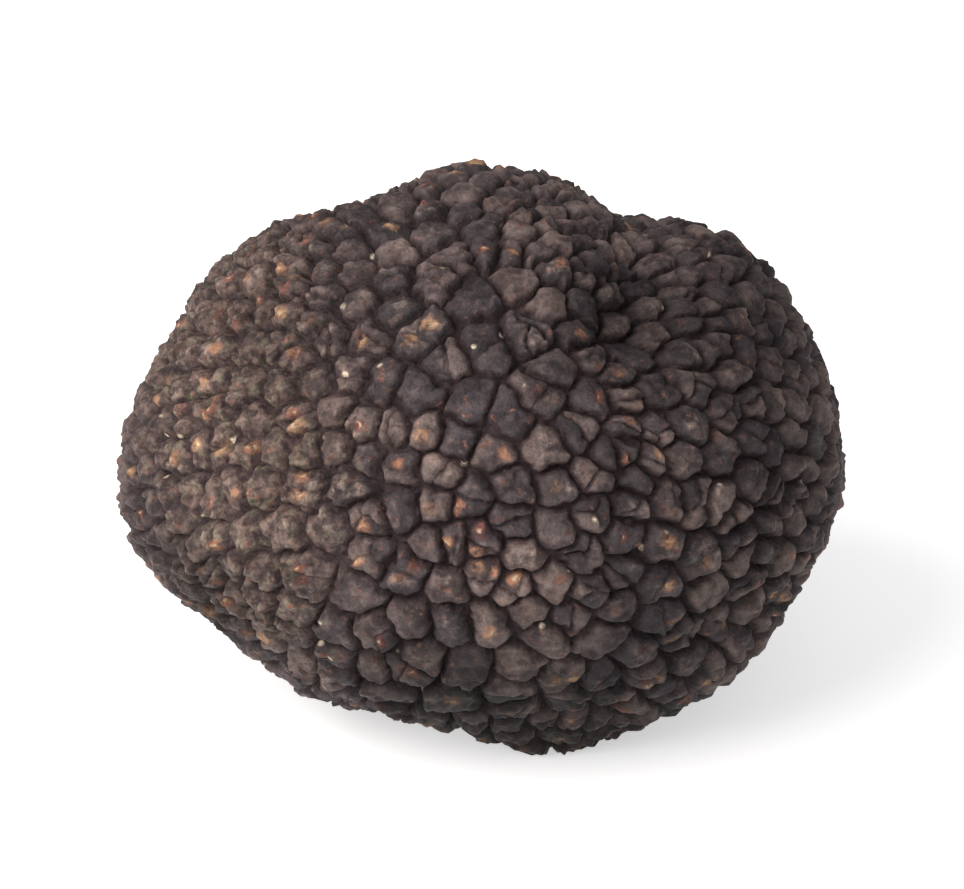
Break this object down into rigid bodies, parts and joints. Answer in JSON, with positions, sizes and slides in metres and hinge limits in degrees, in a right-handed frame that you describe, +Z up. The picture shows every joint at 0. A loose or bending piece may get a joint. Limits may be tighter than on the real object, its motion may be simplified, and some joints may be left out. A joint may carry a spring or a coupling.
{
  "type": "black truffle",
  "caption": "Whole black truffle: a rounded, lobed fungus body about 60 mm across under a dark rind of polygonal warts, resting on a small flat spot.",
  "frame": {"origin": "centre of the body's footprint, on the surface that the truffle rests on", "axes": "+Z up from the resting spot, +X along the truffle's longest side, -Y towards the side that the picture shows"},
  "size_m": [0.0601, 0.0524, 0.0439],
  "materials": {
    "rind": "matte, brown-black warts with tan and rust-brown worn tips and darker grooves"
  },
  "bodies": {
    "root": {"truffle": "rind"}
  },
  "joints": []
}
